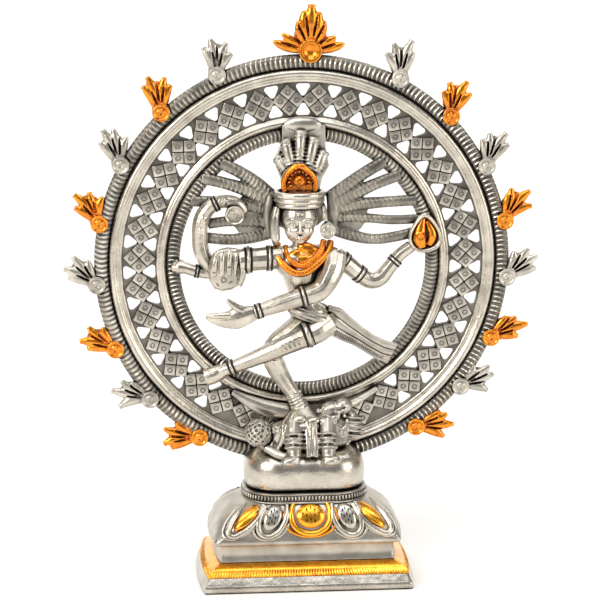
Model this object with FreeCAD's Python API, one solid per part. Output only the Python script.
"""Nataraja statue: a dancing figure in a pierced ring of flames, standing on a dwarf on a lotus pedestal.

Millimetres, +Z up. The front faces -Y. The origin is the middle of the pedestal's underside.
Each cast piece is a solid of its own, and the pieces meet face to face where they are brazed.
"""
import FreeCAD, Part
import os
from math import cos, radians, sin

V = FreeCAD.Vector

# Ring, also called the prabhavali: radii of its five bands, from the figure outwards
RING_Z = 112.0
RING_Y = 3.0
ROPE_IN = 43.0
MOULD_IN = 47.9
LATTICE_IN = 51.0
LATTICE_OUT = 63.0
MOULD_OUT = 67.3
ROPE_OUT = 72.4
LATTICE_THICK = 3.0
BAND_THICK = 3.4
BAND_CROWN = 0.8

# Pierced holes: a pair on each spoke, except behind the pedestal
HOLE_SPOKES = 35
HOLE_LAST_ANGLE = 150.0
HOLE_WIDTH = 4.9
HOLE_HEIGHT = 4.2
HOLE_OUTER_R = 61.0
HOLE_INNER_R = 53.0

# Flames: eight a side and a larger one on top. The tilts are the clock directions in which they point
FLAME_ANGLES = (26.0, 44.0, 61.8, 78.6, 95.2, 113.6, 130.4, 147.8)
FLAME_TILTS = (0.0, 10.0, 16.0, 27.0, 48.0, 60.0, 68.0, 85.0)
FLAME_SWAY = 1.9
FLAME_LENGTH = 13.5
FLAME_BOSS_R = 2.6
TOP_FLAME_LENGTH = 17.0

# Pedestal: width and depth of the foot, and the heights between its tiers
BASE_W = 72.5
BASE_D = 46.0
BASE_BOW = 1.7
FOOT_EDGE_Z = 2.5
FOOT_Z = 5.5
BAND_Z = 9.4
NECK_Z = 15.9
LOTUS_Z = 30.0
COLLAR_Z = 33.0
CUSHION_Z = 47.0
CUSHION_W = 42.4
CUSHION_D = 28.0
CAVITY_W = 50.0
CAVITY_D = 24.0
CAVITY_Z = 20.0
PETAL_LENGTH = 12.5
PETAL_WIDTH = 12.5
PETAL_SLOPE = 34.0
PETAL_Y = -11.5
PETAL_TOP_Z = 29.4

# Fixing that holds the figure and ring down on the hollow pedestal
STUD_R = 2.5
STUD_LOW_Z = 13.0
STUD_TOP_Z = 44.0
NUT_ACROSS_FLATS = 8.0
NUT_THICK = 4.0
WASHER_R = 5.5
WASHER_THICK = 1.0

# The figure's main places
BODY_Y = -3.0
HEAD_X = -2.0
HEAD_Z = 127.5
HEAD_HALF = (6.2, 6.0, 7.8)
ROOT_Y = 0.6
ROOT_R = 1.4
ROOT_TOP_Z = 136.0
ROOT_LOW_Z = 121.6
BANGLE_WIDTH = 1.6
BANGLE_PROUD = 0.7

pieces = {}


def add(name, shape, *neighbours, keep=1):
    """Stores a piece, trimmed back from the neighbours that it is brazed to. keep is its number of solids."""
    if neighbours:
        shape = shape.cut([pieces[n] for n in neighbours])
    largest = sorted(shape.Solids, key=lambda s: -s.Volume)[:keep]
    pieces[name] = largest[0] if keep == 1 else Part.makeCompound(largest)


def joined(shapes):
    """One solid from overlapping ones."""
    return shapes[0].multiFuse(shapes[1:]).removeSplitter()


def limb(*points):
    """A tapered limb through points of (x, y, z, radius)."""
    parts = []
    for x, y, z, r in points:
        parts.append(Part.makeSphere(r, V(x, y, z)))
    for (xa, ya, za, ra), (xb, yb, zb, rb) in zip(points, points[1:]):
        start, way = V(xa, ya, za), V(xb - xa, yb - ya, zb - za)
        if abs(ra - rb) < 0.01:
            parts.append(Part.makeCylinder(ra, way.Length, start, way))
        else:
            parts.append(Part.makeCone(ra, rb, way.Length, start, way))
    return joined(parts)


def ellipsoid(x, y, z, rx, ry, rz):
    """An ellipsoid about x, y, z with those half sizes."""
    ball = Part.makeSphere(1.0)
    matrix = FreeCAD.Matrix()
    matrix.scale(V(rx, ry, rz))
    matrix.move(V(x, y, z))
    return ball.transformGeometry(matrix)


def plate(outline, y, thick):
    """A plate with an outline of (x, z) points, from y back to y + thick."""
    wire = Part.makePolygon([V(x, y, z) for x, z in outline] + [V(outline[0][0], y, outline[0][1])])
    return Part.Face(wire).extrude(V(0, thick, 0))


def leaf(length, width, y, thick):
    """A pointed leaf that stands up along Z from the origin."""
    tip = V(0, y, length)
    right = Part.Arc(V(0, y, 0), V(width / 2, y, length * 0.45), tip).toShape()
    left = Part.Arc(tip, V(-width / 2, y, length * 0.45), V(0, y, 0)).toShape()
    return Part.Face(Part.Wire([right, left])).extrude(V(0, thick, 0))


def turned(shape, angle, x=0.0, z=0.0):
    """The shape turned clockwise about Y, seen from the front, through angle degrees about (x, z)."""
    return shape.rotated(V(x, 0, z), V(0, 1, 0), angle)


def at_ring_top(shape, radius):
    """Takes a shape that stands up from the origin out to the top of the ring."""
    return shape.translated(V(0, RING_Y, RING_Z + radius))


def round_ring(shape, angle):
    """Takes a shape at the top of the ring round it, to that clock angle."""
    return turned(shape, angle, 0, RING_Z)


# Pedestal

def plan(width, depth, z, bow=BASE_BOW):
    """A tier's outline: straight front and back, sides bowed outwards."""
    w, d = width / 2, depth / 2
    right = Part.Arc(V(w, -d, z), V(w + bow, 0, z), V(w, d, z)).toShape()
    left = Part.Arc(V(-w, d, z), V(-w - bow, 0, z), V(-w, -d, z)).toShape()
    front = Part.makeLine(V(-w, -d, z), V(w, -d, z))
    back = Part.makeLine(V(w, d, z), V(-w, d, z))
    return Part.Wire([front, right, back, left])


def tier(*levels):
    """A tier of the pedestal through levels of (inset from the foot's front edge, z)."""
    wires = [plan(BASE_W - 2 * inset, BASE_D - 2 * inset, z) for inset, z in levels]
    return Part.makeLoft(wires, True, True)


def hollow(shape):
    """The tier less the cavity of the hollow casting."""
    block = Part.makeBox(CAVITY_W, CAVITY_D, CAVITY_Z + 1, V(-CAVITY_W / 2, -CAVITY_D / 2, -1))
    return shape.cut(block)


def rounded_block(width, depth, low, high, radius):
    """A block with every edge rounded."""
    block = Part.makeBox(width, depth, high - low, V(-width / 2, -depth / 2, low))
    return block.makeFillet(radius, block.Edges)


def nut():
    corner = NUT_ACROSS_FLATS / 2 / cos(radians(30))
    points = [V(corner * cos(radians(60 * i)), corner * sin(radians(60 * i)), 0) for i in range(7)]
    low = CAVITY_Z - WASHER_THICK - NUT_THICK
    prism = Part.Face(Part.makePolygon(points)).extrude(V(0, 0, NUT_THICK)).translated(V(0, 0, low))
    return prism.cut(Part.makeCylinder(STUD_R, 30, V(0, 0, low - 10)))


def lotus_petals(places):
    """Leaves that hang over the front and back of the domed lotus block, at those (x, lean)."""
    shapes = []
    for x, lean in places:
        petal = leaf(PETAL_LENGTH, PETAL_WIDTH, -0.8, 1.6)
        petal = petal.rotated(V(0, 0, 0), V(0, 1, 0), 180 + lean)
        petal = petal.rotated(V(0, 0, 0), V(1, 0, 0), -PETAL_SLOPE).translated(V(x, PETAL_Y, PETAL_TOP_Z))
        shapes.append(petal)
        shapes.append(petal.rotated(V(0, 0, 0), V(0, 0, 1), 180))
    return Part.makeCompound(shapes)


def build_pedestal():
    add("fixing_stud", Part.makeCylinder(STUD_R, STUD_TOP_Z - STUD_LOW_Z, V(0, 0, STUD_LOW_Z)))
    add("plinth_foot", hollow(tier((0, 0), (0, FOOT_EDGE_Z), (1.5, FOOT_Z))))
    add("plinth_gilt_band", hollow(tier((1.5, FOOT_Z), (5.7, BAND_Z))))
    add("plinth_neck", hollow(tier((6.0, BAND_Z), (6.0, NECK_Z))))
    dome = tier((4.0, NECK_Z), (4.0, 18.0), (5.2, 21.5), (8.0, 25.5), (12.0, 28.6), (15.0, LOTUS_Z))
    add("lotus_block", hollow(dome), "fixing_stud")
    collar = rounded_block(CUSHION_W + 1.6, CUSHION_D + 1.6, LOTUS_Z, COLLAR_Z, 1.2)
    add("milled_collar", collar, "fixing_stud")
    cushion = rounded_block(CUSHION_W, CUSHION_D, COLLAR_Z, CUSHION_Z, 5.5)
    add("cushion_seat", cushion, "fixing_stud")
    washer = Part.makeCylinder(WASHER_R, WASHER_THICK, V(0, 0, CAVITY_Z - WASHER_THICK))
    add("fixing_washer", washer, "fixing_stud")
    add("fixing_nut", nut())
    gilt = lotus_petals([(0, 0), (-20.0, 38), (20.0, -38)])
    add("lotus_petals_gilt", gilt, "lotus_block", "milled_collar", keep=6)
    silver = lotus_petals([(-11.0, 18), (11.0, -18)])
    add("lotus_petals_silver", silver, "lotus_block", "milled_collar", "lotus_petals_gilt", keep=4)


# Ring

def band(inner, outer, half, crown):
    """One round band of the ring, with bulged front and back faces."""
    mid = (inner + outer) / 2
    y = RING_Y
    corners = [V(inner, y - half, 0), V(outer, y - half, 0), V(outer, y + half, 0), V(inner, y + half, 0)]
    front = Part.Arc(corners[0], V(mid, y - half - crown, 0), corners[1]).toShape()
    back = Part.Arc(corners[2], V(mid, y + half + crown, 0), corners[3]).toShape()
    rim = Part.makeLine(corners[1], corners[2])
    bore = Part.makeLine(corners[3], corners[0])
    face = Part.Face(Part.Wire([front, rim, back, bore]))
    return face.revolve(V(0, 0, 0), V(0, 1, 0), 360).translated(V(0, 0, RING_Z))


def hole(point_out):
    """A rounded triangular hole that points outwards or inwards, centred on the origin."""
    w, h = HOLE_WIDTH / 2, HOLE_HEIGHT / 2
    side = 1 if point_out else -1
    outline = [(-w, -h + 1.2), (-w + 1, -h), (w - 1, -h), (w, -h + 1.2), (0.7, h), (-0.7, h)]
    return plate([(x, z * side) for x, z in outline], -4, 8)


def lattice():
    body = Part.makeCylinder(LATTICE_OUT, LATTICE_THICK, V(0, RING_Y - LATTICE_THICK / 2, RING_Z), V(0, 1, 0))
    body = body.cut(Part.makeCylinder(LATTICE_IN, 20, V(0, RING_Y - 10, RING_Z), V(0, 1, 0)))
    outer = at_ring_top(hole(False), HOLE_OUTER_R - 0.6)
    inner = at_ring_top(hole(True), HOLE_INNER_R + 0.6)
    holes = []
    for i in range(HOLE_SPOKES):
        angle = (i * 360 / HOLE_SPOKES + 180) % 360 - 180
        if abs(angle) < HOLE_LAST_ANGLE:
            holes.append(round_ring(outer, angle))
            holes.append(round_ring(inner, angle))
    return body.cut(holes)


def flame():
    """A small flame that stands up from its boss: four leaves in a fan."""
    shapes = [Part.makeCylinder(FLAME_BOSS_R, 4.0, V(0, -3.4, 0), V(0, 1, 0))]
    for angle, length in ((-26, 0.76), (-9, 0.97), (8, 1.0), (25, 0.8)):
        shapes.append(turned(leaf(FLAME_LENGTH * length, 4.2, -1.6, 3.0), angle))
    return joined(shapes)


def top_flame():
    """The large flame on top: a cup boss and nine leaves."""
    shapes = [Part.makeCylinder(4.2, 5.0, V(0, -3.6, 0), V(0, 1, 0))]
    for i in range(-4, 5):
        length = TOP_FLAME_LENGTH * (1 - 0.055 * abs(i))
        shapes.append(turned(leaf(length, 4.4, -1.7, 3.2), i * 20))
    return joined(shapes)


def brazed(shape, radius):
    """A flame at the top of the ring, trimmed to sit against the outer rope."""
    return at_ring_top(shape, radius).cut(pieces["ring_outer_rope"])


def build_ring():
    half = BAND_THICK / 2
    add("ring_lattice", lattice())
    add("ring_outer_moulding", band(LATTICE_OUT, MOULD_OUT, half, BAND_CROWN), "cushion_seat")
    add("ring_inner_moulding", band(MOULD_IN, LATTICE_IN, half, BAND_CROWN))
    add("ring_outer_rope", band(MOULD_OUT, ROPE_OUT, half, BAND_CROWN), "cushion_seat")
    add("ring_inner_rope", band(ROPE_IN, MOULD_IN, half, BAND_CROWN))
    add("flame_top", round_ring(brazed(top_flame(), 73.6), FLAME_SWAY))
    for side, name in ((-1, "left"), (1, "right")):
        for number, (angle, tilt) in enumerate(zip(FLAME_ANGLES, FLAME_TILTS), 1):
            one = brazed(turned(flame(), side * (tilt - angle)), ROPE_OUT - 0.4)
            clock = side * angle + FLAME_SWAY * cos(radians(angle))
            add(f"flame_{name}_{number}", round_ring(one, clock))


# Dwarf under the dancer's foot

def build_dwarf():
    body = ellipsoid(1, -4.5, 50, 16.5, 5.2, 7.5)
    leg = limb((0, -8, 56, 2.4), (-0.5, -12.5, 52, 2.4), (-0.5, -13.5, 46.8, 2.2))
    legs = [leg.translated(V(x, 0, 0)) for x in (-3.6, 8.0)]
    tail = limb((11, -4, 55, 2.6), (14.5, -4, 58, 2.2), (12.5, -4, 61.5, 1.8))
    add("dwarf_body", joined([body, tail] + legs), "cushion_seat", "ring_outer_rope")
    add("dwarf_head", Part.makeSphere(4.6, V(-16.6, -7.5, 53.6)), "dwarf_body")


# Dancer

def torso():
    """Shoulders, chest, waist and hips as one smooth casting."""
    sections = ((-0.4, 118.2, 5.0, 3.4), (-0.2, 115.5, 9.6, 4.4), (-0.6, 111.0, 8.8, 5.0),
                (-0.9, 105.0, 6.4, 4.6), (0.2, 99.0, 5.0, 4.2), (4.0, 93.5, 6.6, 4.8), (5.0, 89.0, 6.0, 4.6))
    wires = []
    for x, z, rx, ry in sections:
        wires.append(Part.Wire(Part.Ellipse(V(x, BODY_Y, z), rx, ry).toShape()))
    return Part.makeLoft(wires, True)


def oval_slab(x, y, low, high, rx, ry):
    """An upright slab with an oval plan."""
    wire = Part.Wire(Part.Ellipse(V(x, y, low), rx, ry).toShape())
    return Part.Face(wire).extrude(V(0, 0, high - low))


def build_body():
    add("torso", torso())
    neck = Part.makeCylinder(3.2, 6.0, V(HEAD_X, BODY_Y, 116.5))
    skull = ellipsoid(HEAD_X, BODY_Y - 0.5, HEAD_Z, *HEAD_HALF)
    add("head", joined([skull, neck]), "torso")
    standing = limb((2.0, -3, 91.0, 5.0), (-10.6, -3.4, 82.5, 4.4), (-9.3, -3, 75.6, 3.4),
                    (-2.4, -3, 63.5, 2.4), (-1.6, -6.5, 60.5, 2.4))
    add("standing_leg", standing, "torso", "dwarf_body")
    raised = limb((7.2, -6.0, 90.0, 4.2), (1.0, -9.0, 88.6, 3.4), (-26.5, -6.5, 77.0, 2.9),
                  (-33.5, -3.4, 73.4, 2.9))
    add("raised_leg", raised, "torso", "standing_leg", "ring_inner_rope")
    add("waist_belt", oval_slab(1.4, BODY_Y, 95.6, 98.2, 6.6, 5.4), "torso")
    tail = plate([(11.0, 96.5), (20.0, 89.3), (26.5, 85.0), (32.6, 83.4), (29.0, 77.8),
                  (18.0, 84.2), (10.5, 87.0)], -2.4, 3.2)
    add("sash", tail, "torso", "raised_leg", "ring_inner_rope")


def build_head_dress():
    add("headband", oval_slab(HEAD_X + 0.6, BODY_Y - 0.2, 132.6, 138.6, 8.7, 7.2), "head")
    boss = Part.makeCylinder(2.1, 3.2, V(-2.6, -10.4, 142.6), V(0, 1, 0))
    ornament = plate([(-8.1, 138.6), (4.7, 138.6), (3.4, 143.4), (-2.0, 148.0), (-7.0, 143.4)], -9.0, 2.6)
    add("crown_ornament", joined([ornament, boss]))
    core = Part.makeCone(6.4, 4.6, 9.0, V(-1.6, -3.0, 138.6))
    web = plate([(-6.8, 150.0), (6.2, 150.0), (7.2, 158.5), (-6.8, 158.5)], -1.2, 2.4)
    feather = leaf(17.5, 5.2, -5.4, 4.8).translated(V(-1.6, 0, 138.6))
    feathers = [turned(feather, fan, -1.6, 138.6) for fan in (-44, -22, 0, 22, 44)]
    add("crown_feathers", joined([core, web] + feathers), "crown_ornament", "ring_inner_rope")
    add("necklace", oval_slab(-1.2, BODY_Y - 1.2, 113.0, 118.4, 9.2, 5.8), "torso", "head")
    long_drop = limb((-9.0, -3.6, 131.6, 1.5), (-9.8, -3.6, 122.0, 1.5))
    round_drop = Part.makeCylinder(2.7, 2.4, V(6.2, -6.2, 124.4), V(0, 1, 0))
    add("ear_drops", Part.makeCompound([long_drop, round_drop]), "head", keep=2)


def strand(*points):
    """A run of tapered rods through points of (x, y, z, radius), each trimmed back from the one before."""
    rods = []
    for (xa, ya, za, ra), (xb, yb, zb, rb) in zip(points, points[1:]):
        way = V(xb - xa, yb - ya, zb - za)
        rod = Part.makeCone(ra, rb, way.Length, V(xa, ya, za), way)
        rods.append(rod.cut(rods) if rods else rod)
    return rods


def add_hair(name, x, locks, *neighbours):
    """An upright root beside the head, two short bridges to the head, and the locks that fly to the ring."""
    root = Part.makeCylinder(ROOT_R, ROOT_TOP_Z - ROOT_LOW_Z, V(x, ROOT_Y, ROOT_LOW_Z))
    rods = []
    for lock in locks:
        rods += strand(*lock)
    for z in (ROOT_LOW_Z + 2.4, ROOT_TOP_Z - 5.0):
        rods.append(Part.makeCylinder(1.0, abs(x - HEAD_X), V(min(x, HEAD_X), ROOT_Y, z), V(1, 0, 0)))
    shapes = [root]
    for rod in rods:
        for blocker in [root] + [pieces[n] for n in neighbours]:
            rod = max(rod.cut(blocker).Solids, key=lambda s: s.Volume)
        shapes.append(rod)
    add(name, Part.makeCompound(shapes), keep=len(shapes))


def build_hair():
    ends = ((134.6, -24.4, 145.6), (131.8, -32.8, 139.8), (128.0, -35.6, 130.4), (124.0, -34.4, 122.2))
    locks = [((-11.8, ROOT_Y, z, 1.3), (xb, 2.2, zb, 1.9)) for z, xb, zb in ends]
    add_hair("hair_locks_left", -11.8, locks, "head", "ring_inner_rope", "drum_arm", "drum")
    ends = ((134.8, 27.2, 146.6), (131.6, 32.0, 141.4), (128.0, 38.8, 132.4))
    locks = [((11.2, ROOT_Y, z, 1.3), (xb, 2.2, zb, 1.9)) for z, xb, zb in ends]
    locks.append(((11.2, ROOT_Y, 123.2, 1.3), (24.2, 1.2, 119.8, 1.8), (36.0, 2.0, 121.2, 1.9)))
    add_hair("hair_locks_right", 11.2, locks, "head", "ring_inner_rope", "flame_cup")


def build_arms():
    pointing = limb((9.9, -6.5, 114.4, 3.2), (4.6, -9.6, 102.4, 3.0), (-18.5, -11.0, 97.1, 2.3))
    add("pointing_arm", pointing, "torso")
    hand = limb((-18.6, -11.0, 97.1, 2.0), (-24.6, -11.2, 95.4, 2.7), (-35.4, -11.0, 96.2, 1.0))
    add("pointing_hand", hand, "pointing_arm")
    add("blessing_arm", limb((-8.4, -2.6, 114.6, 4.2), (-21.2, -3.6, 114.8, 4.0)), "torso")
    palm = Part.makeBox(11.6, 5.0, 14.6, V(-33.0, -6.6, 104.0))
    palm = palm.makeFillet(1.8, palm.Edges)
    thumb = limb((-22.4, -6.2, 113.6, 1.5), (-22.0, -6.2, 108.4, 1.4))
    add("blessing_hand", joined([palm, thumb]), "blessing_arm")
    add("hand_bar", limb((-42.0, 0.8, 110.6, 2.4), (-31.0, -0.8, 108.6, 2.3)), "blessing_hand",
        "ring_inner_rope")
    lumps = [Part.makeSphere(3.1, V(-43.6, 1.0, 112.4)), Part.makeSphere(2.9, V(-44.2, 1.0, 108.6))]
    add("bar_braze", joined(lumps), "ring_inner_rope", "hand_bar")
    curl = limb((-32.0, -1.8, 112.6, 2.4), (-35.6, -1.4, 117.0, 2.6), (-36.6, -1.2, 122.6, 2.6),
                (-34.8, -1.2, 129.0, 2.5), (-30.4, -1.4, 132.8, 2.3), (-27.6, -1.8, 132.8, 2.1))
    add("drum_arm", curl, "blessing_hand", "hand_bar")
    front = Part.makeCone(3.5, 1.7, 3.4, V(-23.9, -5.6, 129.8), V(0, 1, 0))
    back = Part.makeCone(1.7, 3.5, 3.4, V(-23.9, -2.2, 129.8), V(0, 1, 0))
    add("drum", joined([front, back]), "drum_arm")
    add("flame_arm", limb((11.0, -1.6, 113.6, 3.1), (24.0, -1.2, 105.3, 2.9), (34.2, -1.8, 116.1, 2.6)),
        "torso", "pointing_arm")
    bowl = turned(leaf(16.6, 13.6, -4.2, 4.4), 10).translated(V(40.4, 0, 114.2))
    add("flame_cup", bowl, "flame_arm", "ring_inner_rope")
    tongue = turned(leaf(13.4, 9.6, -5.8, 1.6), 10).translated(V(40.9, 0, 116.0))
    add("cup_flame", tongue, "flame_cup")


def hoop(x, y, z, radius, way):
    """A bangle round a limb of that radius, which runs along way."""
    way = V(*way)
    way.normalize()
    return Part.makeCylinder(radius + BANGLE_PROUD, BANGLE_WIDTH, V(x, y, z) - way * (BANGLE_WIDTH / 2), way)


def build_bangles():
    """The banded armlets, bracelets and anklets, each fitted to the limb that it goes round."""
    fits = (
        ("blessing_arm", hoop(-12.6, -2.9, 114.6, 4.1, (-12.8, -1, 0.2))),
        ("blessing_arm", hoop(-18.4, -3.4, 114.7, 4.0, (-12.8, -1, 0.2))),
        ("pointing_arm", hoop(6.6, -8.4, 107.0, 3.1, (-5.3, -3.1, -12))),
        ("pointing_arm", hoop(-16.6, -10.9, 97.6, 2.4, (-23, -1.4, -5.3))),
        ("flame_arm", hoop(15.0, -1.5, 111.1, 3.1, (13, 0.4, -8.3))),
        ("flame_arm", hoop(20.4, -1.3, 107.6, 3.0, (13, 0.4, -8.3))),
        ("flame_arm", hoop(32.4, -1.7, 114.2, 2.7, (10.2, -0.6, 10.8))),
        ("raised_leg", hoop(-24.4, -6.7, 77.9, 3.0, (-27.5, 2.5, -11.6))),
        ("standing_leg", hoop(-3.6, -3.0, 65.6, 2.6, (7, 0, -12))),
    )
    rings = [ring.cut([pieces[limb_name], pieces["torso"]]) for limb_name, ring in fits]
    add("bangles", Part.makeCompound(rings), keep=len(rings))


os.makedirs("parts", exist_ok=True)
for build in (build_pedestal, build_ring, build_dwarf, build_body, build_arms, build_head_dress,
              build_hair, build_bangles):
    build()
for name, shape in pieces.items():
    shape.exportStep(f"parts/{name}.step")
    print(name, len(shape.Solids), round(shape.Volume, 1), shape.isValid())
